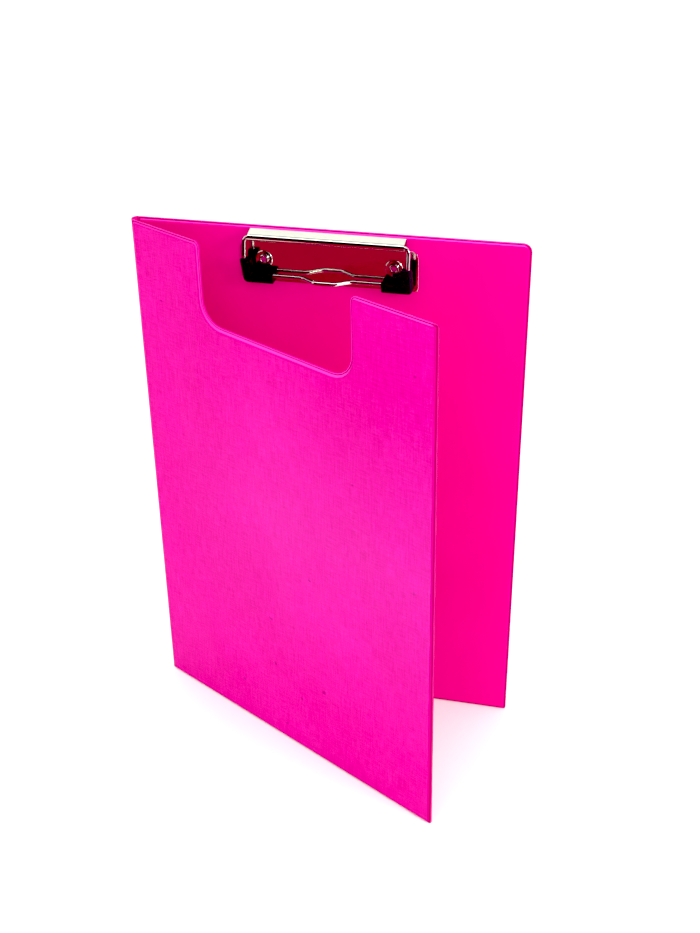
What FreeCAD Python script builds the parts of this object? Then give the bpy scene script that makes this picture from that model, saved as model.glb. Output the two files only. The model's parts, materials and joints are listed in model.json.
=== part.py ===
"""Foldover clipboard: two board-stiffened covers in welded plastic film, a soft spine with two creases, and
a wire-bail paper clip riveted to the back cover. Millimetres, +Z up. The clipboard stands part open on its
bottom edges, and the origin is on the floor under the middle of its bounding box."""
import FreeCAD, Part
import math
import os
from FreeCAD import Vector

# ---- driving dimensions -------------------------------------------------------------------------------
COVER_WIDTH = 226.0      # crease to outer edge of either cover
COVER_HEIGHT = 320.0
SPINE_WIDTH = 5.0        # crease to crease
OPEN_ANGLE = 29.0        # between the covers as they stand; each crease takes half of it

CORE_THICKNESS = 2.0     # greyboard
FILM = 0.4               # plastic film, outer and inner
WELD_BORDER = 2.0        # from the trimmed edge to the board inside
FIT_GAP = 0.1            # between the board's edge and the film's side wall
FILM_EDGE_RADIUS = 0.35
CORNER_RADIUS = 1.5
TOP_OUTER_RADIUS = 5.0   # the back cover's top outer corner

NOTCH_LEFT = 57.0        # the front cover's cut-out, measured from its crease
NOTCH_RIGHT = 169.5
NOTCH_DEPTH = 47.0
NOTCH_RADIUS = 14.0
NOTCH_MOUTH_RADIUS = 3.5

BEAD_RADIUS = 0.4        # the welded bead that each fold turns about
BEAD_SEAT = 0.3          # from a fold's axis to the spine film, which holds the bead
CREASE_GAP = 0.7         # from a fold's axis to the cover's film

CLIP_X = COVER_WIDTH / 2
PLATE_BOTTOM = COVER_HEIGHT - 32.2
PLATE_HEIGHT = 23.7
PLATE_WIDTH = 102.4
SHEET = 0.7              # clip plate thickness
PLATE_TOP_RADIUS = 5.0
PLATE_BOTTOM_RADIUS = 2.0
PLATE_EDGE_RADIUS = 0.25

RAIL_LENGTH = 88.8       # the plate's rolled top edge
RAIL_SLOPE = 15.0        # fall of the rail's top towards the front, degrees
RAIL_BEND_RADIUS = 1.6
RAIL_LIP_ANGLE = -200.0  # where the roll ends, so that it holds the wire on every side
WIRE_RADIUS = 1.2
WIRE_PLAY = 0.08         # running fit between the wire and the roll

PIVOT_OUT = 6.2          # OUT is from the plate's face, and UP from its bottom edge, both to the wire's centre
PIVOT_UP = 27.6
ELBOW_OUT = 8.3
ELBOW_UP = 15.9
BAR_OUT = 4.1
BAR_UP = 4.7
TAB_OUT = 10.1
ARM_X = 46.8             # arm to clip centre
WIRE_END_X = 4.0         # the wire's two ends stop this far from the clip's centre
TAB_FOOT_X = 14.0
TAB_CREST_X = 5.6
ARM_BEND_RADIUS = 3.0
ELBOW_RADIUS = 5.0
CORNER_BEND_RADIUS = 3.2
TAB_BEND_RADIUS = 5.0

CAP_OUTER_X = 49.2
CAP_INNER_X = 31.2
CAP_POST_WIDTH = 6.4
CAP_DROP = 0.2           # below the plate's bottom edge
CAP_SHELF_UP = 6.6       # top of the cap's lower leg
CAP_TOP_UP = 16.1
CAP_OUTER_RADIUS = 4.0    # its bottom outer corner, seen from the front
CAP_CORNER_RADIUS = 1.0   # its other corners
CAP_CROTCH_RADIUS = 1.5
CAP_FRONT_RADIUS = 2.0    # the long edge between its front and its outer side
CAP_TOE_OUT = 4.7        # the cap's front, at its bottom, at its bend and at its top
CAP_BEND_OUT = 6.9
CAP_TIP_OUT = 10.7
CAP_THICKNESS = 4.8
CAP_BEND_UP = 6.3
CAP_JAW_UP = 3.2         # the flat that presses on the paper ends here
GROOVE_RADIUS = 0.3      # of the two grooves across the toe
GROOVE_SHARES = (0.35, 0.6)
JAW_GAP = 0.3            # between a closed cap and the plate
CAP_WIRE_PLAY = 0.02
CAP_SIDE_BEND = 2.0       # radius of the bend between toe and tip
CAP_SMALL_RADIUS = 0.6
TOLERANCE = 1e-4

RIVET_X = 37.5           # rivet to clip centre
RIVET_UP = 12.8
RIVET_BORE = 1.45
RIVET_SHANK = 2.25
RIVET_HEAD = 2.8
RIVET_TAIL = 3.1
RIVET_HOLE_PLAY = 0.1
BOSS_RADIUS = 5.1        # the pressed cup round each rivet
BOSS_LIP_RADIUS = 4.5
BOSS_HEIGHT = 0.55
WASHER_OUTER = 4.5
WASHER_THICKNESS = 0.4
RECESS_RADIUS = 4.8      # in the board's back, for washer and rivet tail
RECESS_DEPTH = 1.2

# ---- places worked out from them ----------------------------------------------------------------------
HALF_CORE = CORE_THICKNESS / 2
HALF_COVER = HALF_CORE + FILM
PLATE_BACK_Y = -HALF_COVER
PLATE_FACE_Y = PLATE_BACK_Y - SHEET
PLATE_TOP = PLATE_BOTTOM + PLATE_HEIGHT
PIVOT_Z = PLATE_BOTTOM + PIVOT_UP
BAR_Z = PLATE_BOTTOM + BAR_UP
CAP_BOTTOM = PLATE_BOTTOM - CAP_DROP
CAP_TOP = PLATE_BOTTOM + CAP_TOP_UP
CAP_BEND_Z = PLATE_BOTTOM + CAP_BEND_UP
RIVET_Z = PLATE_BOTTOM + RIVET_UP
HALF_ANGLE = math.radians(OPEN_ANGLE / 2)
FULL_ANGLE = math.radians(OPEN_ANGLE)
FRONT_CREASE = Vector(-SPINE_WIDTH * math.sin(HALF_ANGLE), -SPINE_WIDTH * math.cos(HALF_ANGLE), 0)
FAR_EDGE_Y = FRONT_CREASE.y - COVER_WIDTH * math.sin(FULL_ANGLE) - FILM * math.cos(FULL_ANGLE)
ORIGIN = Vector((COVER_WIDTH + FRONT_CREASE.x - BEAD_RADIUS) / 2, (HALF_COVER + FAR_EDGE_Y) / 2, 0)
RIVET_PLACES = (CLIP_X - RIVET_X, CLIP_X + RIVET_X)
X_AXIS, Y_AXIS, Z_AXIS = Vector(1, 0, 0), Vector(0, 1, 0), Vector(0, 0, 1)


# ---- shared shape helpers -----------------------------------------------------------------------------
def corner_arc(before, corner, after, radius):
    """Start, middle and end of the arc that rounds a path's corner."""
    inward, outward = (before - corner).normalize(), (after - corner).normalize()
    half = inward.getAngle(outward) / 2
    centre = corner + (inward + outward).normalize() * (radius / math.sin(half))
    reach = radius / math.tan(half)
    return corner + inward * reach, centre + (corner - centre).normalize() * radius, corner + outward * reach


def rounded_path(points, radii, closed=False):
    """A wire of straight runs joined by tangent arcs. radii has one value per point, 0 for a sharp one."""
    count = len(points)
    edges, last = [], None
    for i, (point, radius) in enumerate(zip(points, radii)):
        if radius:
            arc = corner_arc(points[i - 1], point, points[(i + 1) % count], radius)
            start, end = arc[0], arc[2]
        else:
            arc, start, end = None, point, point
        if last is not None:
            edges.append(Part.LineSegment(last, start).toShape())
        else:
            first = start
        if arc:
            edges.append(Part.Arc(*arc).toShape())
        last = end
    if closed:
        edges.append(Part.LineSegment(last, first).toShape())
    return Part.Wire(edges)


def upright_face(corners, radii):
    """A flat face in the XZ plane from (x, z) corners."""
    return Part.Face(rounded_path([Vector(x, 0, z) for x, z in corners], radii, closed=True))


def inset(face, distance):
    return face.makeOffset2D(-distance).Faces[0]


def slab(face, y_from, y_to):
    moved = face.copy()
    moved.translate(Vector(0, y_from, 0))
    return moved.extrude(Vector(0, y_to - y_from, 0))


def rim_edges(solid, y):
    """The edges that lie wholly in the plane at this y."""
    return [e for e in solid.Edges if all(abs(v.Y - y) < TOLERANCE for v in e.Vertexes)
            and abs(e.CenterOfMass.y - y) < TOLERANCE]


def turned(profile, axis_point):
    """A solid from (radius, y) corners turned about an axis along Y; an entry of three points is an arc."""
    edges = []
    for run in profile:
        points = [axis_point + Vector(r, y, 0) for r, y in run]
        curve = Part.Arc(*points) if len(points) == 3 else Part.LineSegment(*points)
        edges.append(curve.toShape())
    return Part.Face(Part.Wire(edges)).revolve(axis_point, Y_AXIS, 360)


def mirrored(shape):
    return shape.mirror(Vector(CLIP_X, 0, 0), X_AXIS)


# ---- covers -------------------------------------------------------------------------------------------
def back_outline():
    corners = [(CREASE_GAP, 0), (COVER_WIDTH, 0), (COVER_WIDTH, COVER_HEIGHT), (CREASE_GAP, COVER_HEIGHT)]
    return upright_face(corners, [0, CORNER_RADIUS, TOP_OUTER_RADIUS, 0])


def front_outline():
    floor = COVER_HEIGHT - NOTCH_DEPTH
    corners = [(CREASE_GAP, 0), (COVER_WIDTH, 0), (COVER_WIDTH, COVER_HEIGHT), (NOTCH_RIGHT, COVER_HEIGHT),
               (NOTCH_RIGHT, floor), (NOTCH_LEFT, floor), (NOTCH_LEFT, COVER_HEIGHT),
               (CREASE_GAP, COVER_HEIGHT)]
    radii = [0, CORNER_RADIUS, CORNER_RADIUS, NOTCH_MOUTH_RADIUS, NOTCH_RADIUS, NOTCH_RADIUS,
             NOTCH_MOUTH_RADIUS, 0]
    return upright_face(corners, radii)


def film_half(outline, side):
    """The film on one face of a cover: a weld border in the middle plane and a raised pan over the board."""
    top = side * HALF_COVER
    pan = slab(inset(outline, WELD_BORDER - FILM), 0, top)
    pan = pan.makeFillet(FILM_EDGE_RADIUS, rim_edges(pan, top))
    border = slab(outline, 0, side * FILM)
    hollow = slab(inset(outline, WELD_BORDER - FIT_GAP), 0, side * HALF_CORE)
    return border.fuse(pan).cut(hollow).removeSplitter()


def core_board(outline):
    return slab(inset(outline, WELD_BORDER), -HALF_CORE, HALF_CORE)


def rivet_hole(x, radius, y_from, y_to):
    return Part.makeCylinder(radius, y_to - y_from, Vector(x, y_from, RIVET_Z), Y_AXIS)


def back_cover():
    """Board and film of the back cover; its inner face looks along -Y."""
    outline = back_outline()
    core, inner, outer = core_board(outline), film_half(outline, -1), film_half(outline, 1)
    for x in RIVET_PLACES:
        through = rivet_hole(x, RIVET_SHANK + RIVET_HOLE_PLAY, -HALF_COVER, HALF_CORE)
        recess = rivet_hole(x, RECESS_RADIUS, HALF_CORE - RECESS_DEPTH, HALF_CORE)
        core = core.cut(through).cut(recess)
        inner = inner.cut(through)
    return {"back_board_core": core, "back_inner_film": inner, "back_outer_film": outer}


def front_cover():
    """Board and film of the front cover, built flat with its inner face to +Y, then swung open."""
    outline = front_outline()
    flat = {"front_board_core": core_board(outline), "front_inner_film": film_half(outline, 1),
            "front_outer_film": film_half(outline, -1)}
    for shape in flat.values():
        shape.rotate(Vector(0, 0, 0), Z_AXIS, -OPEN_ANGLE)
        shape.translate(FRONT_CREASE)
    return flat


# ---- spine --------------------------------------------------------------------------------------------
def spine():
    """The film between the creases, and the welded bead along each that its fold turns about."""
    back_bead = Part.makeCylinder(BEAD_RADIUS, COVER_HEIGHT)
    front_bead = Part.makeCylinder(BEAD_RADIUS, COVER_HEIGHT, FRONT_CREASE)
    parts = {"back_crease_bead": back_bead, "front_crease_bead": front_bead}
    length = SPINE_WIDTH - 2 * BEAD_SEAT
    for name, side in (("spine_outer_film", -FILM), ("spine_inner_film", 0)):
        strip = Part.makeBox(length, FILM, COVER_HEIGHT, Vector(BEAD_SEAT, side, 0))
        strip.rotate(Vector(0, 0, 0), Z_AXIS, -90 - OPEN_ANGLE / 2)
        parts[name] = strip.cut(back_bead).cut(front_bead)
    return parts


# ---- clip plate and its rivets ------------------------------------------------------------------------
def rail():
    """The plate's top edge, bent forward and rolled round the bail's wire."""
    outer = WIRE_RADIUS + WIRE_PLAY + SHEET
    slope, lip = math.radians(90 - RAIL_SLOPE), math.radians(RAIL_LIP_ANGLE)

    def at(out, z):
        return Vector(CLIP_X - RAIL_LENGTH / 2, PLATE_FACE_Y - out, z)

    def on_roll(angle):
        return at(PIVOT_OUT + outer * math.cos(angle), PIVOT_Z + outer * math.sin(angle))

    roll_start = (PIVOT_OUT + outer * math.cos(slope), PIVOT_Z + outer * math.sin(slope))
    corner = at(-SHEET, roll_start[1] + (roll_start[0] + SHEET) / math.tan(slope))
    foot = at(-SHEET, PLATE_TOP - PLATE_TOP_RADIUS)
    bend = corner_arc(foot, corner, on_roll(slope), RAIL_BEND_RADIUS)
    path = Part.Wire([
        Part.LineSegment(foot, bend[0]).toShape(),
        Part.Arc(*bend).toShape(),
        Part.LineSegment(bend[2], on_roll(slope)).toShape(),
        Part.Arc(on_roll(slope), on_roll((slope + lip) / 2), on_roll(lip)).toShape()])
    sheet = path.makeOffset2D(-SHEET, fill=True, openResult=True)
    if abs(sheet.BoundBox.YMax - PLATE_BACK_Y) > FIT_GAP:
        sheet = path.makeOffset2D(SHEET, fill=True, openResult=True)
    return sheet.Faces[0].extrude(Vector(RAIL_LENGTH, 0, 0))


def clip_plate():
    left, right = CLIP_X - PLATE_WIDTH / 2, CLIP_X + PLATE_WIDTH / 2
    outline = upright_face(
        [(left, PLATE_BOTTOM), (right, PLATE_BOTTOM), (right, PLATE_TOP), (left, PLATE_TOP)],
        [PLATE_BOTTOM_RADIUS, PLATE_BOTTOM_RADIUS, PLATE_TOP_RADIUS, PLATE_TOP_RADIUS])
    plate = slab(outline, PLATE_BACK_Y, PLATE_FACE_Y)
    plate = plate.makeFillet(PLATE_EDGE_RADIUS, rim_edges(plate, PLATE_FACE_Y))
    plate = plate.fuse(rail())
    hole = RIVET_SHANK + RIVET_HOLE_PLAY / 2
    face, lip = PLATE_FACE_Y, PLATE_FACE_Y - BOSS_HEIGHT
    middle = ((BOSS_LIP_RADIUS + BOSS_RADIUS) / 2 + BOSS_HEIGHT / 6, face - BOSS_HEIGHT * 2 / 3)
    for x in RIVET_PLACES:
        cup = turned([[(hole, face + SHEET / 2), (hole, face)], [(hole, face), (RIVET_HEAD, face)],
                      [(RIVET_HEAD, face), (BOSS_LIP_RADIUS, lip)],
                      [(BOSS_LIP_RADIUS, lip), middle, (BOSS_RADIUS, face)],
                      [(BOSS_RADIUS, face), (BOSS_RADIUS, face + SHEET / 2)],
                      [(BOSS_RADIUS, face + SHEET / 2), (hole, face + SHEET / 2)]], Vector(x, 0, RIVET_Z))
        plate = plate.fuse(cup).cut(rivet_hole(x, hole, PLATE_FACE_Y - 1, PLATE_BACK_Y + 1))
    return plate.removeSplitter()


def rivet(x):
    """A tubular rivet with a rolled head on the plate and a flared tail on its washer."""
    head_foot = PLATE_FACE_Y
    rim = (RIVET_HEAD - RIVET_BORE) / 2
    crown = head_foot - rim / 2
    seat = HALF_CORE - RECESS_DEPTH + WASHER_THICKNESS
    tail_end = seat + rim
    return turned([[(RIVET_BORE, tail_end), (RIVET_BORE, crown)],
                   [(RIVET_BORE, crown), (RIVET_BORE + rim, crown - rim), (RIVET_HEAD, crown)],
                   [(RIVET_HEAD, crown), (RIVET_HEAD, head_foot)],
                   [(RIVET_HEAD, head_foot), (RIVET_SHANK, head_foot)],
                   [(RIVET_SHANK, head_foot), (RIVET_SHANK, seat)],
                   [(RIVET_SHANK, seat), (RIVET_TAIL, seat)],
                   [(RIVET_TAIL, seat), (RIVET_SHANK, tail_end)],
                   [(RIVET_SHANK, tail_end), (RIVET_BORE, tail_end)]], Vector(x, 0, RIVET_Z))


def washer(x):
    """The ring behind the board that a rivet's tail is flared over."""
    start = HALF_CORE - RECESS_DEPTH
    disc = rivet_hole(x, WASHER_OUTER, start, start + WASHER_THICKNESS)
    return disc.cut(rivet_hole(x, RIVET_SHANK + RIVET_HOLE_PLAY, start, start + WASHER_THICKNESS))


# ---- bail ---------------------------------------------------------------------------------------------
def wire_path():
    """The bail's centreline, from one end inside the rail round to the other."""
    def at(x, out, z):
        return Vector(CLIP_X + x, PLATE_FACE_Y - out, z)

    left = [at(-WIRE_END_X, PIVOT_OUT, PIVOT_Z), at(-ARM_X, PIVOT_OUT, PIVOT_Z),
            at(-ARM_X, ELBOW_OUT, PLATE_BOTTOM + ELBOW_UP), at(-ARM_X, BAR_OUT, BAR_Z), at(-TAB_FOOT_X, BAR_OUT, BAR_Z),
            at(-TAB_CREST_X, TAB_OUT, BAR_Z)]
    right = [Vector(2 * CLIP_X - p.x, p.y, p.z) for p in reversed(left)]
    radii = [0, ARM_BEND_RADIUS, ELBOW_RADIUS, CORNER_BEND_RADIUS, TAB_BEND_RADIUS, TAB_BEND_RADIUS]
    return rounded_path(left + right, radii + radii[::-1])


def wire_solid(radius):
    path = wire_path()
    start = path.Edges[0].Vertexes[0].Point
    profile = Part.Wire(Part.makeCircle(radius, start, X_AXIS))
    return Part.Wire(path).makePipeShell([profile], True, False)


def cap_block(inner, outer):
    """The cap's side view as a bar, with the long front edge on its outer side rounded off."""
    side_view = [(CAP_TOE_OUT, CAP_BOTTOM), (CAP_BEND_OUT, CAP_BEND_Z), (CAP_TIP_OUT, CAP_TOP),
                 (CAP_TIP_OUT - CAP_THICKNESS, CAP_TOP), (CAP_BEND_OUT - CAP_THICKNESS, CAP_BEND_Z),
                 (JAW_GAP, PLATE_BOTTOM + CAP_JAW_UP), (JAW_GAP, CAP_BOTTOM)]
    points = [Vector(inner, PLATE_FACE_Y - out, z) for out, z in side_view]
    radii = [CAP_CORNER_RADIUS, CAP_SIDE_BEND, CAP_CORNER_RADIUS, CAP_SMALL_RADIUS, CAP_SIDE_BEND,
             CAP_SMALL_RADIUS, CAP_SMALL_RADIUS]
    block = Part.Face(rounded_path(points, radii, closed=True)).extrude(Vector(outer - inner, 0, 0))
    front = [e for e in block.Edges if all(abs(v.X - outer) < TOLERANCE for v in e.Vertexes)
             and e.CenterOfMass.y < PLATE_FACE_Y - CAP_TOE_OUT and e.CenterOfMass.z < CAP_TOP - CAP_CORNER_RADIUS]
    return block.makeFillet(CAP_FRONT_RADIUS, front)


def right_cap():
    """A moulded corner that grips the wire and presses on the paper; the other cap mirrors it."""
    outer, inner, post = CLIP_X + CAP_OUTER_X, CLIP_X + CAP_INNER_X, CLIP_X + CAP_OUTER_X - CAP_POST_WIDTH
    shelf = PLATE_BOTTOM + CAP_SHELF_UP
    front_view = upright_face(
        [(inner, CAP_BOTTOM), (outer, CAP_BOTTOM), (outer, CAP_TOP), (post, CAP_TOP), (post, shelf), (inner, shelf)],
        [CAP_CORNER_RADIUS, CAP_OUTER_RADIUS, CAP_CORNER_RADIUS, CAP_CORNER_RADIUS, CAP_CROTCH_RADIUS,
         CAP_CORNER_RADIUS])
    cap = cap_block(inner, outer).common(slab(front_view, PLATE_FACE_Y - CAP_TIP_OUT, PLATE_FACE_Y))
    toe = Vector(inner + CAP_OUTER_RADIUS, PLATE_FACE_Y - CAP_TOE_OUT, CAP_BOTTOM)
    rise = Vector(0, CAP_TOE_OUT - CAP_BEND_OUT, CAP_BEND_Z - CAP_BOTTOM)
    for share in GROOVE_SHARES:
        length = outer - inner - 2 * CAP_OUTER_RADIUS
        cap = cap.cut(Part.makeCylinder(GROOVE_RADIUS, length, toe + rise * share, X_AXIS))
    return cap


def bail():
    cap = right_cap().cut(wire_solid(WIRE_RADIUS + CAP_WIRE_PLAY))
    return {"bail_wire": wire_solid(WIRE_RADIUS), "right_corner_cap": cap, "left_corner_cap": mirrored(cap)}


# ---- assembly -----------------------------------------------------------------------------------------
def main():
    nodes = {}
    nodes.update(back_cover())
    nodes.update(front_cover())
    nodes.update(spine())
    nodes["clip_plate"] = clip_plate()
    nodes["clip_rivets"] = Part.makeCompound([rivet(x) for x in RIVET_PLACES])
    nodes["rivet_washers"] = Part.makeCompound([washer(x) for x in RIVET_PLACES])
    nodes.update(bail())
    os.makedirs("parts", exist_ok=True)
    box = FreeCAD.BoundBox()
    for name, shape in nodes.items():
        shape.translate(-ORIGIN)
        box.add(shape.BoundBox)
        print(f"{name:20s} valid {shape.isValid()} solids {len(shape.Solids)} volume {shape.Volume:10.1f}")
        shape.exportStep(f"parts/{name}.step")
    print("box", box)
    print("back crease", -ORIGIN, "front crease", FRONT_CREASE - ORIGIN)
    print("bail pivot", Vector(CLIP_X, PLATE_FACE_Y - PIVOT_OUT, PIVOT_Z) - ORIGIN)


main()
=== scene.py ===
import json
import math
import bmesh
import bpy
from mathutils import Matrix, Vector


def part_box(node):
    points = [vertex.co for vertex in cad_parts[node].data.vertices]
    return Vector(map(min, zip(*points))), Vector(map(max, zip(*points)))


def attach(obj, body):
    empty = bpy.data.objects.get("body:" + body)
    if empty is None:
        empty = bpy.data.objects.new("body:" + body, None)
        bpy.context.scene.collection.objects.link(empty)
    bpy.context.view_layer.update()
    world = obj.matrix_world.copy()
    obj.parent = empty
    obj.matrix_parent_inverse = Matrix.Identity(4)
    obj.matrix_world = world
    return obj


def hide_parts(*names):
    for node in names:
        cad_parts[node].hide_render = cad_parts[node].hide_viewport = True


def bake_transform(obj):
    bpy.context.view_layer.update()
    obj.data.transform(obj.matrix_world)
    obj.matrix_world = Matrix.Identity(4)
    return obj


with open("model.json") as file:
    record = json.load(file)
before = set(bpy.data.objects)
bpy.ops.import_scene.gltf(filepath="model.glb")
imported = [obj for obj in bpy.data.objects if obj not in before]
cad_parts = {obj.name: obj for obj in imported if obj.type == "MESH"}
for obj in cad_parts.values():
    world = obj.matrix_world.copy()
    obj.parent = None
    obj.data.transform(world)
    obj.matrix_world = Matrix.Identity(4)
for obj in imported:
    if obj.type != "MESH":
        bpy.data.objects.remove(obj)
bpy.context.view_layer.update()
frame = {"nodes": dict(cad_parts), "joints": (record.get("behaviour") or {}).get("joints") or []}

MM = 0.001
JOINTS = {j["name"]: j for j in frame["joints"]}
NODES = frame["nodes"]

# ---- the clipboard's own frame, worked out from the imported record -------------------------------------
BACK_CREASE = Vector(JOINTS["back_crease"]["pos_m"]).xy.to_3d()
FRONT_CREASE = Vector(JOINTS["front_crease"]["pos_m"]).xy.to_3d()
SPINE_ALONG = (FRONT_CREASE - BACK_CREASE).normalized()
OPEN_ANGLE = 2 * math.atan2(BACK_CREASE.x - FRONT_CREASE.x, BACK_CREASE.y - FRONT_CREASE.y)
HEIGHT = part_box("back_outer_film")[1].z
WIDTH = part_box("back_outer_film")[1].x - BACK_CREASE.x
Z_AXIS = Vector((0, 0, 1))

# A cover's frame: a point on its crease, the way along the cover, and the way its inner face looks.
BACK = (BACK_CREASE, Vector((1, 0, 0)), Vector((0, -1, 0)))
FRONT = (FRONT_CREASE, Vector((math.cos(OPEN_ANGLE), -math.sin(OPEN_ANGLE), 0)),
         Vector((math.sin(OPEN_ANGLE), math.cos(OPEN_ANGLE), 0)))

CREASE_GAP = 0.7 * MM
CORNER_RADIUS = 1.5 * MM
TOP_OUTER_RADIUS = 5.0 * MM
NOTCH_LEFT = 57.0 * MM
NOTCH_RIGHT = 169.5 * MM
NOTCH_FLOOR = HEIGHT - 47.0 * MM
NOTCH_RADIUS = 14.0 * MM
NOTCH_MOUTH_RADIUS = 3.5 * MM

FACE_INSET = 4.2              # mm from a trimmed edge, well onto the plain face of a film
WELD_INSET = 0.78             # mm from a trimmed edge, where the weld is pressed thinnest

# Section through a cover's welded edge, in mm: distance in from the trimmed edge, and height above the
# middle plane. It runs from the board's face, round the film's trimmed edge, to the outside face.
WELD_SECTION = [(2.02, 1.02), (1.96, 0.95), (1.86, 0.30), (1.70, 0.01), (0.90, 0.01), (0.03, 0.01),
                (0.0, 0.05), (0.0, 0.33), (0.06, 0.44), (0.20, 0.50), (0.36, 0.48), (0.50, 0.38),
                (0.62, 0.24), (WELD_INSET, 0.20), (0.94, 0.24), (1.10, 0.42), (1.30, 0.78), (1.48, 1.08),
                (1.62, 1.26), (1.80, 1.37), (2.05, 1.42), (2.40, 1.43), (3.00, 1.40), (FACE_INSET, 1.40)]
BOARD_SECTION = [(2.9, -0.99), (2.2, -0.8), (2.05, -0.4), (2.05, 0.4), (2.2, 0.8), (2.9, 0.99)]
FLANGE = 1.0                  # the part of a section that keeps its width on every edge, mm
NOTCH_STRETCH = 2.2           # how much wider the rest of it is along the notch's floor
RIDGE_RADIUS = 0.7 * MM
ARC_STEPS = 6
BOW_STEPS = 8
GRID = 9.0 * MM
TWIST = 1.7 * MM
SKIN_HALF = 0.19 * MM         # half the thickness of a spine film
GUTTER_HALF = 0.40 * MM
SKIN_START = 0.35             # how far from a crease a spine film starts, mm
SKIN_OFFSET = 0.2             # from the spine's middle plane to a film's middle, mm
FULLEST_AT = 0.68             # the part of the height where the spine bows most
FULLNESS_SPREAD = 0.28


def outline_of(corners):
    """Corner records (point, radius, way in, way out, widths in and out) from (s, z, radius, width) in a
    counter-clockwise list; a width belongs to the edge that leaves its corner."""
    records = []
    for i, (s, z, radius, width) in enumerate(corners):
        here = Vector((s, z))
        before, after = Vector(corners[i - 1][:2]), Vector(corners[(i + 1) % len(corners)][:2])
        records.append((here, radius, (here - before).normalized(), (after - here).normalized(),
                        corners[i - 1][3], width))
    return records


BACK_OUTLINE = outline_of([(CREASE_GAP, 0, 0, 1), (WIDTH, 0, CORNER_RADIUS, 1),
                           (WIDTH, HEIGHT, TOP_OUTER_RADIUS, 1), (CREASE_GAP, HEIGHT, 0, 1)])
FRONT_OUTLINE = outline_of([(CREASE_GAP, 0, 0, 1), (WIDTH, 0, CORNER_RADIUS, 1),
                            (WIDTH, HEIGHT, CORNER_RADIUS, 1), (NOTCH_RIGHT, HEIGHT, NOTCH_MOUTH_RADIUS, 1),
                            (NOTCH_RIGHT, NOTCH_FLOOR, NOTCH_RADIUS, NOTCH_STRETCH),
                            (NOTCH_LEFT, NOTCH_FLOOR, NOTCH_RADIUS, 1),
                            (NOTCH_LEFT, HEIGHT, NOTCH_MOUTH_RADIUS, 1), (CREASE_GAP, HEIGHT, 0, 1)])


def ring_of(outline, inset):
    """The outline moved in by a distance in mm, as points whose number does not depend on the distance."""
    points = []
    for corner, radius, way_in, way_out, width_in, width_out in outline:
        normal_in, normal_out = Vector((-way_in.y, way_in.x)), Vector((-way_out.y, way_out.x))
        inset_in = (inset + max(inset - FLANGE, 0) * (width_in - 1)) * MM
        inset_out = (inset + max(inset - FLANGE, 0) * (width_out - 1)) * MM
        sign = 1 if way_in.x * way_out.y - way_in.y * way_out.x > 0 else -1
        bend = max(radius - inset * MM, RIDGE_RADIUS) if sign > 0 else radius + inset * MM
        centre = (corner + inset_in * normal_in + inset_out * normal_out
                  + sign * bend * (normal_in + normal_out))
        for k in range(ARC_STEPS + 1):
            turn = math.pi / 2 * k / ARC_STEPS
            points.append(centre - sign * bend * (math.cos(turn) * normal_in + math.sin(turn) * normal_out))
    return points


def twist(s, z):
    """How far the front cover leans out of its plane: out at its free edge's top, and in at the foot."""
    return TWIST * (2 * z / HEIGHT - 1) * s / WIDTH


def skin_rings(work, rings):
    """Faces between each ring of vertices and the next."""
    count = len(rings[0])
    for low, high in zip(rings, rings[1:]):
        for k in range(count):
            work.faces.new((low[k], low[(k + 1) % count], high[(k + 1) % count], high[k]))


def piece_from(work, name):
    """An object in the scene, made from a finished bmesh."""
    mesh = bpy.data.meshes.new(name)
    work.to_mesh(mesh)
    work.free()
    piece = bpy.data.objects.new(name, mesh)
    bpy.context.scene.collection.objects.link(piece)
    return piece


def panel(name, outline, section, side, cover, body, node, twisted):
    """A closed sheet built from rings round a cover's outline, with a grid of faces across the panel."""
    work = bmesh.new()
    inset_of = work.verts.layers.float.new("inset")
    rings = []
    for inset, height in section:
        rings.append([work.verts.new((p.x, side * height * MM, p.y)) for p in ring_of(outline, inset)])
        for vert in rings[-1]:
            vert[inset_of] = inset
    skin_rings(work, rings)
    work.faces.new(rings[0][::-1])
    work.faces.new(rings[-1])
    for axis, length in ((Vector((1, 0, 0)), WIDTH), (Z_AXIS, HEIGHT)):
        for k in range(1, int(length / GRID)):
            bmesh.ops.bisect_plane(work, geom=work.verts[:] + work.edges[:] + work.faces[:], dist=1e-7,
                                   plane_co=axis * (k * length / int(length / GRID)), plane_no=axis)
    bmesh.ops.recalc_face_normals(work, faces=work.faces[:])
    uv = work.loops.layers.uv.new("UVMap")
    for face in work.faces:
        face.smooth = True
        for loop in face.loops:
            loop[uv].uv = (loop.vert.co.x, loop.vert.co.z)
    origin, along, inward = cover
    for vert in work.verts:
        s, t, z = vert.co
        t -= twist(s, z) if twisted else 0
        vert.co = origin + along * s + inward * t + Z_AXIS * z
    piece = piece_from(work, name)
    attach(piece, body)
    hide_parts(node)
    return piece


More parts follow.
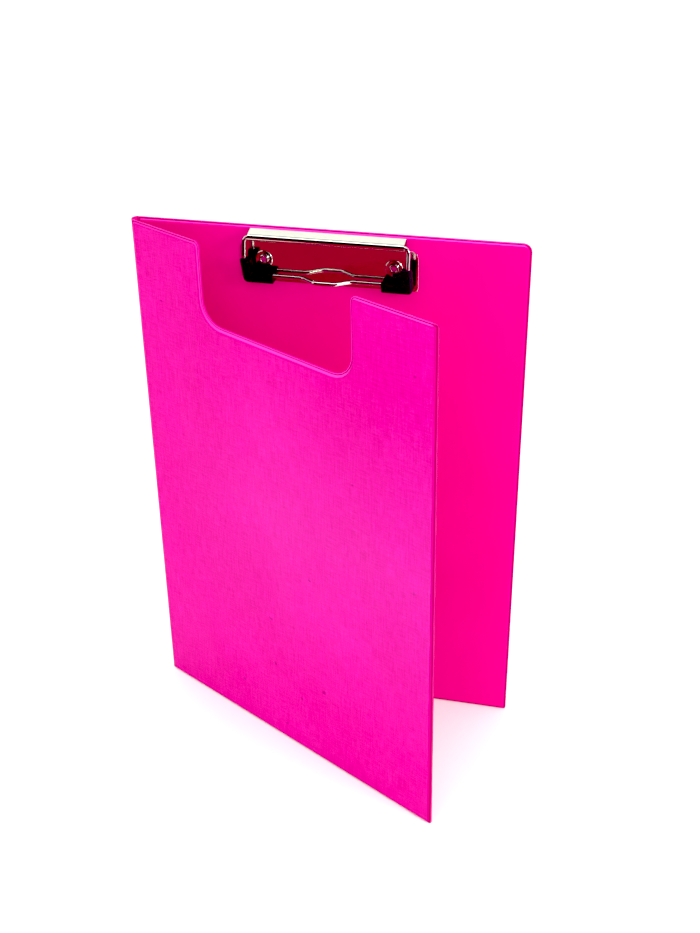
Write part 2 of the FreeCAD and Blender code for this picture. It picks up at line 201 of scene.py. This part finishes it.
def strip(name, line_at, half_thickness, inset):
    """An upright strip of film from the floor to the top: line_at(z) gives its middle line in plan, and
    inset says which part of a welded edge it looks like."""
    rows = int(HEIGHT / GRID)
    work = bmesh.new()
    uv = work.loops.layers.uv.new("UVMap")
    inset_of = work.verts.layers.float.new("inset")
    rings, run = [], {}
    for k in range(rows + 1):
        z = HEIGHT * k / rows
        line = line_at(z)
        left, right, travelled = [], [], 0.0
        for i, point in enumerate(line):
            way = (line[min(i + 1, len(line) - 1)] - line[max(i - 1, 0)]).normalized()
            side = Vector((-way.y, way.x, 0)) * half_thickness
            travelled += (point - line[max(i - 1, 0)]).length
            for verts, place in ((left, point + side), (right, point - side)):
                verts.append(work.verts.new(place + Z_AXIS * z))
                verts[-1][inset_of] = inset
                run[verts[-1]] = travelled
        rings.append(left + right[::-1])
    skin_rings(work, rings)
    count = len(rings[0])
    for ring in (rings[0], rings[-1]):
        for k in range(count // 2 - 1):
            work.faces.new((ring[k], ring[k + 1], ring[count - 2 - k], ring[count - 1 - k]))
    bmesh.ops.recalc_face_normals(work, faces=work.faces[:])
    for face in work.faces:
        face.smooth = abs(face.normal.z) < 0.5
        for loop in face.loops:
            loop[uv].uv = (run[loop.vert], loop.vert.co.z)
    return piece_from(work, name)


def bow(start, end, rise):
    """Points along a shallow bow between two places, standing out to the left of the way between them."""
    across = Vector((-(end - start).y, (end - start).x, 0)).normalized()
    return [start.lerp(end, k / BOW_STEPS) + across * rise * math.sin(math.pi * k / BOW_STEPS)
            for k in range(BOW_STEPS + 1)]


def gutter_line(crease, cover_way, spine_way):
    """Round a crease, from the cover's welded edge onto the spine's film, with its reaches in mm."""
    ways = [cover_way * reach for reach in (1.25, 0.95, 0.65)] + [(cover_way + spine_way) * 0.17]
    ways += [spine_way * reach for reach in (0.55, 0.85)]
    return [crease + way * MM for way in ways]


# ---- materials ----------------------------------------------------------------------------------------
WELD_ROUGHNESS = 0.34
# Colours of a welded edge: painted highlights and painted shade, with the plain film's own colour between
# them.
PAINTED_HIGHLIGHT = (0.90, 0.065, 0.53, 1)
PLAIN_FILM = (0.76, 0.004, 0.29, 1)
PAINTED_EDGE_SHADE = (0.50, 0.001, 0.13, 1)
PAINTED_RIM_HIGHLIGHT = (0.82, 0.045, 0.34, 1)
FILM_SHEEN = (1.0, 0.3, 0.95, 1)      # the film's own tint in its highlights
EDGE_SPAN = 4.0                       # mm from the trimmed edge that an edge's colour ramps cover
FREE_EDGE_SPAN = 10 * MM              # from the free edge, the reach of the ramp that fades the pale lines


def grey(level):
    """An even grey, as a colour for a ramp."""
    return (level, level, level, 1)


def new_material(name, **sockets):
    """A material, its node tree and its shader, with the shader's sockets set by name."""
    material = bpy.data.materials.new(name)
    material.use_nodes = True
    shader = material.node_tree.nodes["Principled BSDF"]
    for socket, value in sockets.items():
        shader.inputs[socket.replace("_", " ")].default_value = value
    return material, material.node_tree, shader


def node_in(tree, kind, **settings):
    """A new node, with each setting put on the input of that name, or else on the node itself."""
    node = tree.nodes.new(kind)
    for key, value in settings.items():
        if key in node.inputs:
            node.inputs[key].default_value = value
        else:
            setattr(node, key, value)
    return node


def noise_in(tree, coordinates, scale, stretch=(1, 1, 1), detail=2.0, roughness=0.5):
    """A noise field, stretched by its own mapping."""
    mapping = node_in(tree, "ShaderNodeMapping")
    mapping.inputs["Scale"].default_value = stretch
    tree.links.new(coordinates, mapping.inputs["Vector"])
    noise = node_in(tree, "ShaderNodeTexNoise", Scale=scale, Detail=detail, Roughness=roughness)
    tree.links.new(mapping.outputs["Vector"], noise.inputs["Vector"])
    return noise.outputs["Fac"]


def ramp_in(tree, value, stops):
    """A colour ramp from (position, colour) stops."""
    ramp = tree.nodes.new("ShaderNodeValToRGB")
    ramp.color_ramp.elements[0].position, ramp.color_ramp.elements[0].color = stops[0]
    ramp.color_ramp.elements[1].position, ramp.color_ramp.elements[1].color = stops[-1]
    for position, colour in stops[1:-1]:
        ramp.color_ramp.elements.new(position).color = colour
    tree.links.new(value, ramp.inputs["Fac"])
    return ramp.outputs["Color"]


def maths(tree, operation, a, b):
    """A Math node on two values, each a number or a socket."""
    node = tree.nodes.new("ShaderNodeMath")
    node.operation = operation
    for socket, value in zip(node.inputs, (a, b)):
        if isinstance(value, (int, float)):
            socket.default_value = value
        else:
            tree.links.new(value, socket)
    return node.outputs[0]


def axes_of(tree, vector):
    """A vector's X, Y and Z, as sockets."""
    split = tree.nodes.new("ShaderNodeSeparateXYZ")
    tree.links.new(vector, split.inputs[0])
    return split.outputs


def bumped(tree, shader, height, distance):
    """The shader's normal, bumped by a height field, with its depth in metres."""
    bump = node_in(tree, "ShaderNodeBump", Distance=distance)
    tree.links.new(height, bump.inputs["Height"])
    tree.links.new(bump.outputs["Normal"], shader.inputs["Normal"])


def film_edge(tree, uv):
    """From a film's distance to its trimmed edge: how much of the face's finish it has, and the welded
    edge's colours, which are painted light: painted shade at the very edge and in the pressed groove, and
    painted highlights on the trimmed rim and the ridge. The painted highlights are stronger towards the
    top, but not along a free edge, and less so beside the spine."""
    inset = node_in(tree, "ShaderNodeAttribute", attribute_name="inset").outputs["Fac"]
    across = maths(tree, "DIVIDE", inset, EDGE_SPAN)
    face = ramp_in(tree, across, [(0.36, grey(0)), (0.48, grey(1))])
    # Strong painted highlights on the trimmed rim and the ridge, with painted shade in the groove between.
    highlit_edge = ramp_in(tree, across, [(0.0, (0.72, 0.01, 0.32, 1)), (0.03, PAINTED_HIGHLIGHT), (0.095, PAINTED_HIGHLIGHT),
                                       (0.14, PAINTED_EDGE_SHADE), (0.225, PAINTED_EDGE_SHADE), (0.28, PAINTED_HIGHLIGHT),
                                       (0.345, PAINTED_HIGHLIGHT), (0.43, PLAIN_FILM)])
    # Fainter painted highlight on the rim, with painted shade at the very edge and in the groove.
    plain = ramp_in(tree, across, [(0.0, PAINTED_EDGE_SHADE), (0.025, PAINTED_RIM_HIGHLIGHT), (0.07, PAINTED_RIM_HIGHLIGHT),
                                   (0.11, PAINTED_EDGE_SHADE), (0.30, PAINTED_EDGE_SHADE), (0.40, PLAIN_FILM)])
    place = axes_of(tree, uv)
    # The strong painted highlights grow towards the top, and fade along the free edge and beside the spine.
    lit_above = ramp_in(tree, maths(tree, "DIVIDE", place["Y"], HEIGHT),
                      [(0.1, grey(0)), (0.8, grey(1))])
    from_free_edge = maths(tree, "DIVIDE", maths(tree, "SUBTRACT", WIDTH, place["X"]), FREE_EDGE_SPAN)
    highlight_spread = ramp_in(tree, from_free_edge, [(0.2, grey(0)), (0.45, grey(1))])
    past_tab = ramp_in(tree, maths(tree, "DIVIDE", place["X"], NOTCH_LEFT + NOTCH_RADIUS),
                       [(0.0, grey(0.6)), (0.8, grey(0.68)), (1.0, grey(1))])
    highlight_spread = maths(tree, "MULTIPLY", highlight_spread, past_tab)
    return face, mixed(tree, "MIX", maths(tree, "MULTIPLY", lit_above, highlight_spread), plain, highlit_edge)


def mixed(tree, blend, factor, a, b):
    """Two colours combined in a Mix node of the given blend type."""
    mix = node_in(tree, "ShaderNodeMix", data_type="RGBA", blend_type=blend)
    for socket, value in (("Factor", factor), ("A", a), ("B", b)):
        if isinstance(value, float):
            mix.inputs[socket].default_value = value
        else:
            tree.links.new(value, mix.inputs[socket])
    return mix.outputs["Result"]


def film_roughness(tree, shader, face, rough):
    """The weld's bar leaves the film smooth and bright; beyond it the film has its own roughness."""
    smooth = maths(tree, "MULTIPLY", maths(tree, "SUBTRACT", 1.0, face), WELD_ROUGHNESS)
    both = maths(tree, "ADD", smooth, maths(tree, "MULTIPLY", rough, face))
    tree.links.new(both, shader.inputs["Roughness"])


def painted_sheen(tree, uv):
    """A painted sheen added to the film's colour, most of all at half height, away from the spine."""
    place = axes_of(tree, uv)
    up = ramp_in(tree, maths(tree, "DIVIDE", place["Y"], HEIGHT),
                 [(0.12, grey(0)), (0.52, grey(1)), (0.86, grey(0))])
    out = ramp_in(tree, maths(tree, "DIVIDE", place["X"], WIDTH),
                  [(0.08, grey(0)), (0.5, grey(1))])
    return ramp_in(tree, maths(tree, "MULTIPLY", up, out),
                   [(0.0, grey(0)), (1.0, (0, 0.017, 0.045, 1))])


def outer_film():
    """Embossed plastic film: crossed threads of uneven thickness, in the panel's own directions."""
    material, tree, shader = new_material("pvc_linen_embossed", IOR=1.5, Specular_IOR_Level=0.1,
                                          Specular_Tint=FILM_SHEEN)
    uv = node_in(tree, "ShaderNodeUVMap", uv_map="UVMap").outputs["UV"]
    face, weld = film_edge(tree, uv)
    warp = noise_in(tree, uv, 1150, (1.0, 0.07, 1), 3.0, 0.6)
    weft = noise_in(tree, uv, 1150, (0.10, 1.0, 1), 3.0, 0.6)
    grain = noise_in(tree, uv, 2600, (1, 1, 1), 2.0)
    threads = maths(tree, "MULTIPLY", maths(tree, "ADD", maths(tree, "ADD", warp, weft), grain), 1 / 3)
    slack = noise_in(tree, uv, 26, (1.0, 0.55, 1), 1.0)
    relief = maths(tree, "ADD", threads, maths(tree, "MULTIPLY", slack, 2.5))
    bumped(tree, shader, maths(tree, "MULTIPLY", relief, face), 0.00045)
    cloudy = noise_in(tree, uv, 14, (1, 1, 1), 3.0)
    tone = maths(tree, "ADD", maths(tree, "MULTIPLY", cloudy, 0.15), maths(tree, "MULTIPLY", threads, 0.85))
    colour = ramp_in(tree, tone, [(0.34, (0.58, 0.007, 0.172, 1)), (0.5, (0.73, 0.0115, 0.295, 1)),
                                  (0.66, (0.86, 0.021, 0.46, 1))])
    marks = noise_in(tree, uv, 115, (1, 1, 1), 1.0)
    worn = ramp_in(tree, marks, [(0.76, grey(1)), (0.80, (0.66, 0.5, 0.62, 1))])
    colour = mixed(tree, "MULTIPLY", 1.0, colour, worn)
    # Painted sheen, strongest at half height.
    colour = mixed(tree, "ADD", 1.0, colour, painted_sheen(tree, uv))
    # The welded edge takes its painted highlights and painted shade from film_edge.
    tree.links.new(mixed(tree, "MIX", face, weld, colour), shader.inputs["Base Color"])
    rough = ramp_in(tree, threads, [(0.35, grey(0.56)), (0.65, grey(0.38))])
    film_roughness(tree, shader, face, rough)
    return material


def inner_film():
    """Smooth matt plastic film with a very slight unevenness."""
    material, tree, shader = new_material("pvc_smooth_inside", IOR=1.5, Specular_IOR_Level=0.3,
                                          Specular_Tint=FILM_SHEEN)
    uv = node_in(tree, "ShaderNodeUVMap", uv_map="UVMap").outputs["UV"]
    face, weld = film_edge(tree, uv)
    wavy = noise_in(tree, uv, 22, (1, 0.6, 1), 2.0)
    fine = noise_in(tree, uv, 2600, (1, 1, 1), 1.0)
    bumped(tree, shader, maths(tree, "ADD", wavy, maths(tree, "MULTIPLY", fine, 0.02)), 0.0006)
    colour = ramp_in(tree, wavy, [(0.2, (0.76, 0.0006, 0.235, 1)), (0.8, (0.80, 0.0012, 0.270, 1))])
    # The welded edge takes its painted highlights and painted shade from film_edge.
    tree.links.new(mixed(tree, "MIX", face, weld, colour), shader.inputs["Base Color"])
    rough = ramp_in(tree, wavy, [(0.2, grey(0.46)), (0.8, grey(0.38))])
    film_roughness(tree, shader, face, rough)
    return material


def plated(name, colour, low, high, stretch):
    """Bright nickel plating with faint drawing lines and handling haze."""
    material, tree, shader = new_material(name, Metallic=1.0)
    place = node_in(tree, "ShaderNodeTexCoord").outputs["Object"]
    lines = noise_in(tree, place, 900, stretch, 3.0)
    haze = noise_in(tree, place, 90, (1, 1, 1), 3.0)
    both = maths(tree, "ADD", maths(tree, "MULTIPLY", lines, 0.4), maths(tree, "MULTIPLY", haze, 0.6))
    rough = ramp_in(tree, both, [(0.3, grey(low)), (0.75, grey(high))])
    tree.links.new(rough, shader.inputs["Roughness"])
    darker = tuple(c * 0.93 for c in colour)
    tint = ramp_in(tree, haze, [(0.3, darker + (1,)), (0.7, tuple(colour) + (1,))])
    tree.links.new(tint, shader.inputs["Base Color"])
    bumped(tree, shader, both, 0.00003)
    return material


def black_plastic():
    """Moulded black plastic, satin, with a fine spark-eroded grain."""
    material, tree, shader = new_material("cap_black_plastic", Roughness=0.3, IOR=1.48,
                                          Specular_IOR_Level=0.16)
    place = node_in(tree, "ShaderNodeTexCoord").outputs["Object"]
    grain = noise_in(tree, place, 3200, (1, 1, 1), 2.0)
    cloud = noise_in(tree, place, 150, (1, 1, 1), 2.0)
    bumped(tree, shader, grain, 0.00004)
    tree.links.new(ramp_in(tree, cloud, [(0.3, (0.004, 0.004, 0.0045, 1)), (0.8, (0.009, 0.009, 0.010, 1))]),
                   shader.inputs["Base Color"])
    tree.links.new(ramp_in(tree, cloud, [(0.3, grey(0.24)), (0.8, grey(0.36))]),
                   shader.inputs["Roughness"])
    return material


def greyboard():
    """Recycled board: pressed grey fibre with light and dark flecks."""
    material, tree, shader = new_material("greyboard_fibre", Roughness=0.9)
    place = node_in(tree, "ShaderNodeTexCoord").outputs["Object"]
    fibre = noise_in(tree, place, 700, (1, 1, 0.3), 6.0, 0.7)
    tree.links.new(ramp_in(tree, fibre, [(0.3, (0.20, 0.18, 0.15, 1)), (0.7, (0.42, 0.39, 0.34, 1))]),
                   shader.inputs["Base Color"])
    bumped(tree, shader, fibre, 0.0002)
    return material


def dress(piece, material):
    """Gives a piece one material and no other."""
    piece.data.materials.clear()
    piece.data.materials.append(material)


OUTER, INNER, BOARD, CAPS = outer_film(), inner_film(), greyboard(), black_plastic()
NICKEL = (0.80, 0.82, 0.71)
WARM_NICKEL = (0.76, 0.70, 0.68)
PLATE = plated("nickel_plate", NICKEL, 0.05, 0.11, (0.12, 1, 1))
WIRE = plated("nickel_wire", WARM_NICKEL, 0.07, 0.15, (0.3, 1, 1))
RIVET = plated("nickel_rivet", WARM_NICKEL, 0.08, 0.18, (1, 1, 1))
STEEL = plated("washer_steel", (0.55, 0.55, 0.56), 0.3, 0.45, (1, 1, 1))

# ---- covers, spine and creases ------------------------------------------------------------------------
for name, outline, section, side, cover, body, node, slot, material in (
        ("back_cover_outer_film", BACK_OUTLINE, WELD_SECTION, -1, BACK, "back_cover", "back_outer_film",
         "outer_film", OUTER),
        ("back_cover_inner_film", BACK_OUTLINE, WELD_SECTION, 1, BACK, "back_cover", "back_inner_film",
         "inner_film", INNER),
        ("front_cover_outer_film", FRONT_OUTLINE, WELD_SECTION, -1, FRONT, "front_cover", "front_outer_film",
         "outer_film", OUTER),
        ("front_cover_inner_film", FRONT_OUTLINE, WELD_SECTION, 1, FRONT, "front_cover", "front_inner_film",
         "inner_film", INNER),
        ("front_cover_board", FRONT_OUTLINE, BOARD_SECTION, 1, FRONT, "front_cover", "front_board_core",
         "greyboard", BOARD)):
    built = panel(name, outline, section, side, cover, body, node, cover is FRONT)
    dress(built, material)
    weighted = built.modifiers.new("weighted", "WEIGHTED_NORMAL")
    weighted.keep_sharp = True

OUT_OF_SPINE = Vector((SPINE_ALONG.y, -SPINE_ALONG.x, 0))


def spine_line(rise_low, rise_mid, side):
    """The spine film's line at each height: bowed, and a little fuller at two thirds of the height."""
    def line_at(z):
        fullness = math.exp(-((z / HEIGHT - FULLEST_AT) / FULLNESS_SPREAD) ** 2)
        rise = (rise_low + rise_mid * fullness) * MM
        start = BACK_CREASE + SPINE_ALONG * SKIN_START * MM
        end = FRONT_CREASE - SPINE_ALONG * SKIN_START * MM
        return [p + OUT_OF_SPINE * side * SKIN_OFFSET * MM for p in bow(start, end, rise)]
    return line_at


for name, rises, side, node, slot, material in (
        ("spine_outer_skin", (-0.55, -0.7), 1, "spine_outer_film", "outer_film", OUTER),
        ("spine_inner_skin", (0.12, 0.0), -1, "spine_inner_film", "inner_film", INNER)):
    skin = strip(name, spine_line(*rises, side), SKIN_HALF, FACE_INSET)
    dress(skin, material)
    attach(skin, "spine")
    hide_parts(node)

for name, crease, cover_way, spine_way, body, node in (
        ("back_gutter", BACK_CREASE, BACK[1], SPINE_ALONG, "back_cover", "back_crease_bead"),
        ("front_gutter", FRONT_CREASE, FRONT[1], -SPINE_ALONG, "front_cover", "front_crease_bead")):
    line = gutter_line(crease, cover_way, spine_way)
    # The gutters take the colour of the weld's groove: painted shade in the crease.
    gutter = strip(name, lambda z, line=line: line, GUTTER_HALF, WELD_INSET)
    dress(gutter, OUTER)
    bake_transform(gutter)
    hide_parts(node)

for node, material in (("back_board_core", BOARD), ("rivet_washers", STEEL), ("clip_plate", PLATE),
                       ("clip_rivets", RIVET), ("bail_wire", WIRE), ("left_corner_cap", CAPS),
                       ("right_corner_cap", CAPS)):
    dress(NODES[node], material)

# ---- floor, light and camera --------------------------------------------------------------------------
TENT_LEVEL = 1.0
TENT_OVERHEAD = 2.2
TENT_BEHIND = 0.9
FLOOR_SIZE = 24
WALL_RADIUS = 11
WALL_HEIGHT = 22
CARD_REACH = 2                # how far the wide cards run to either side, metres
CARD_TOP = 1.9                # the height of the cards overhead
CARD_LOW = 0.002              # the height of the floor card, just clear of the floor
CARD_MARGIN = 4 * MM          # from the lining cards to the cover's edges
INNER_SHADE_GAP = 4.0 * MM         # from the front cover's middle plane to its painted-shade cards, and from the notch's floor to the top of the widest one
                              # notch's floor to the top of the widest one
KEY_PLACE = (1.2, -0.5, 0.8)
KEY_TARGET = (0, 0.03, 0.25)
KEY_SIZE = 0.45
KEY_POWER = 8
BLACK_POINT = (0.015, 0.03, 0.015)
CAMERA_PLACE = (0.178, -0.629, 0.5745)
CAMERA_HEADING = 13.67        # degrees, turned left of the way straight at the covers
CAMERA_LOOKS_DOWN = 29.82
CAMERA_ROLL = 0.74
CAMERA_LENS = 51.65


def build_floor():
    """A pale floor that the clipboard stands on."""
    material, tree, shader = new_material("studio_floor", Roughness=0.7)
    place = node_in(tree, "ShaderNodeTexCoord").outputs["Object"]
    cloud = noise_in(tree, place, 3, (1, 1, 1), 2.0)
    tree.links.new(ramp_in(tree, cloud, [(0.3, grey(0.93)), (0.7, grey(0.96))]),
                   shader.inputs["Base Color"])
    bpy.ops.mesh.primitive_plane_add(size=FLOOR_SIZE, location=(0, 0, 0))
    floor = bpy.context.object
    floor.name = "studio_floor"
    dress(floor, material)


def build_world():
    """A white tent, brighter overhead and dimmer behind, on the side that the front cover's inside faces."""
    world = bpy.data.worlds.new("studio")
    bpy.context.scene.world = world
    world.use_nodes = True
    tree = world.node_tree
    background = tree.nodes["Background"]
    background.inputs["Color"].default_value = grey(1)
    direction = tree.nodes.new("ShaderNodeTexCoord").outputs["Generated"]
    overhead = maths(tree, "POWER", maths(tree, "MAXIMUM", axes_of(tree, direction)["Z"], 0.0), 4.0)
    facing = tree.nodes.new("ShaderNodeVectorMath")
    facing.operation = "DOT_PRODUCT"
    tree.links.new(direction, facing.inputs[0])
    facing.inputs[1].default_value = FRONT[2]
    behind = maths(tree, "MULTIPLY", maths(tree, "MAXIMUM", facing.outputs["Value"], 0.0), TENT_BEHIND)
    level = maths(tree, "ADD", maths(tree, "MULTIPLY", overhead, TENT_OVERHEAD), TENT_LEVEL)
    level = maths(tree, "SUBTRACT", level, behind)
    tree.links.new(level, background.inputs["Strength"])


def wide_card(start, end):
    """The corners of a card that runs from one (y, z) to another, and CARD_REACH to either side."""
    return [(-CARD_REACH, *start), (CARD_REACH, *start), (CARD_REACH, *end), (-CARD_REACH, *end)]


def inner_shade_card(near, far, low, high):
    """Corners of a painted-shade card just inside the front cover, s from near to far, z from low to high.
    """
    origin, along, inward = FRONT
    return [origin + along * s + inward * INNER_SHADE_GAP + Z_AXIS * z
            for s, z in ((near, low), (far, low), (far, high), (near, high))]


def build_flags():
    """Cards round the clipboard, seen only by reflections, which give the bright metal its contrast. The
    dark red floor card and the last three are painted reflections: their dark colours stand in for the
    front cover's shaded inside. The last three stand just inside the front cover's place at rest, and
    don't move with it."""
    matt_black = ((0.006, 0.005, 0.005, 1), (0.012, 0.009, 0.01, 1))
    for name, (dark, light), corners in (
            # Painted reflection: the dark red stands in for the front cover's shaded inside.
            ("flag_low", ((0.255, 0.009, 0.025, 1), (0.305, 0.012, 0.032, 1)),
             wide_card((-0.34, CARD_LOW), (-1.6, CARD_LOW))),
            ("flag_front", matt_black, wide_card((-1.6, 0.0), (-1.5, CARD_TOP))),
            ("flag_above", matt_black, wide_card((-1.5, CARD_TOP), (-0.6, CARD_TOP))),
            ("flag_top", ((0.08, 0.08, 0.075, 1), (0.11, 0.11, 0.105, 1)),
             wide_card((0.3, CARD_TOP), (1.08, CARD_TOP))),
            ("card_back", (grey(0.80), grey(0.88)), wide_card((1.08, CARD_TOP), (2.5, 1.2))),
            # These three are painted shade of the front cover's inside, darkest beside the spine.
            ("flag_tab", ((0.010, 0.001, 0.001, 1), (0.016, 0.001, 0.002, 1)),
             inner_shade_card(CARD_MARGIN, NOTCH_LEFT, NOTCH_FLOOR, HEIGHT)),
            ("flag_inner_shade", ((0.41, 0.001, 0.048, 1), (0.47, 0.001, 0.060, 1)),
             inner_shade_card(NOTCH_LEFT, WIDTH - CARD_MARGIN, HEIGHT / 3, NOTCH_FLOOR + INNER_SHADE_GAP)),
            ("flag_far_tab", ((0.28, 0.001, 0.026, 1), (0.34, 0.001, 0.034, 1)),
             inner_shade_card(NOTCH_RIGHT, WIDTH - CARD_MARGIN, NOTCH_FLOOR, HEIGHT))):
        material, tree, shader = new_material(name + "_cloth", Roughness=1.0, Specular_IOR_Level=0.0)
        place = node_in(tree, "ShaderNodeTexCoord").outputs["Object"]
        weave = noise_in(tree, place, 200, (1, 1, 1), 2.0)
        tree.links.new(ramp_in(tree, weave, [(0.3, dark), (0.7, light)]), shader.inputs["Base Color"])
        mesh = bpy.data.meshes.new(name)
        mesh.from_pydata(corners, [], [(0, 1, 2, 3)])
        card = bpy.data.objects.new(name, mesh)
        bpy.context.scene.collection.objects.link(card)
        dress(card, material)
        card.visible_camera = card.visible_diffuse = card.visible_shadow = False
        card.visible_transmission = False


def build_wall():
    """A white wall round the floor, seen only by the camera, so that low views have a plain background."""
    material, tree, shader = new_material("studio_wall", Roughness=1.0, Specular_IOR_Level=0.0,
                                          Emission_Color=grey(1), Emission_Strength=1.0)
    place = node_in(tree, "ShaderNodeTexCoord").outputs["Object"]
    cloud = noise_in(tree, place, 1, (1, 1, 1), 1.0)
    tree.links.new(ramp_in(tree, cloud, [(0.3, grey(0.9)), (0.7, grey(0.95))]),
                   shader.inputs["Base Color"])
    bpy.ops.mesh.primitive_cylinder_add(vertices=64, radius=WALL_RADIUS, depth=WALL_HEIGHT,
                                        end_fill_type="NOTHING")
    wall = bpy.context.object
    wall.name = "studio_wall"
    dress(wall, material)
    wall.visible_diffuse = wall.visible_glossy = wall.visible_shadow = wall.visible_transmission = False


def build_key_light():
    """One soft lamp, well to the right, a little in front and above."""
    data = bpy.data.lights.new("key", "AREA")
    data.shape, data.size, data.energy = "DISK", KEY_SIZE, KEY_POWER
    light = bpy.data.objects.new("key", data)
    bpy.context.scene.collection.objects.link(light)
    light.location = KEY_PLACE
    light.rotation_euler = (Vector(KEY_TARGET) - Vector(KEY_PLACE)).to_track_quat("-Z", "Y").to_euler()


def finish_picture():
    """The plain view transform with a deep black point, as a bright studio shot is usually printed."""
    view = bpy.context.scene.view_settings
    view.view_transform = "Standard"
    view.look = "None"
    view.use_curve_mapping = True
    view.curve_mapping.black_level = BLACK_POINT
    view.curve_mapping.update()


def build_camera():
    """The camera stands in front and to the right, and looks down at the clipboard."""
    data = bpy.data.cameras.new("camera")
    data.sensor_width, data.lens, data.clip_start = 36.0, CAMERA_LENS, 0.01
    camera = bpy.data.objects.new("camera", data)
    bpy.context.scene.collection.objects.link(camera)
    heading = Matrix.Rotation(math.radians(CAMERA_HEADING), 4, "Z")
    tilt = Matrix.Rotation(math.radians(90 - CAMERA_LOOKS_DOWN), 4, "X")
    roll = Matrix.Rotation(math.radians(-CAMERA_ROLL), 4, "Z")
    camera.matrix_world = Matrix.Translation(CAMERA_PLACE) @ heading @ tilt @ roll
    bpy.context.scene.camera = camera


build_floor()
build_wall()
build_flags()
build_world()
build_key_light()
build_camera()
finish_picture()
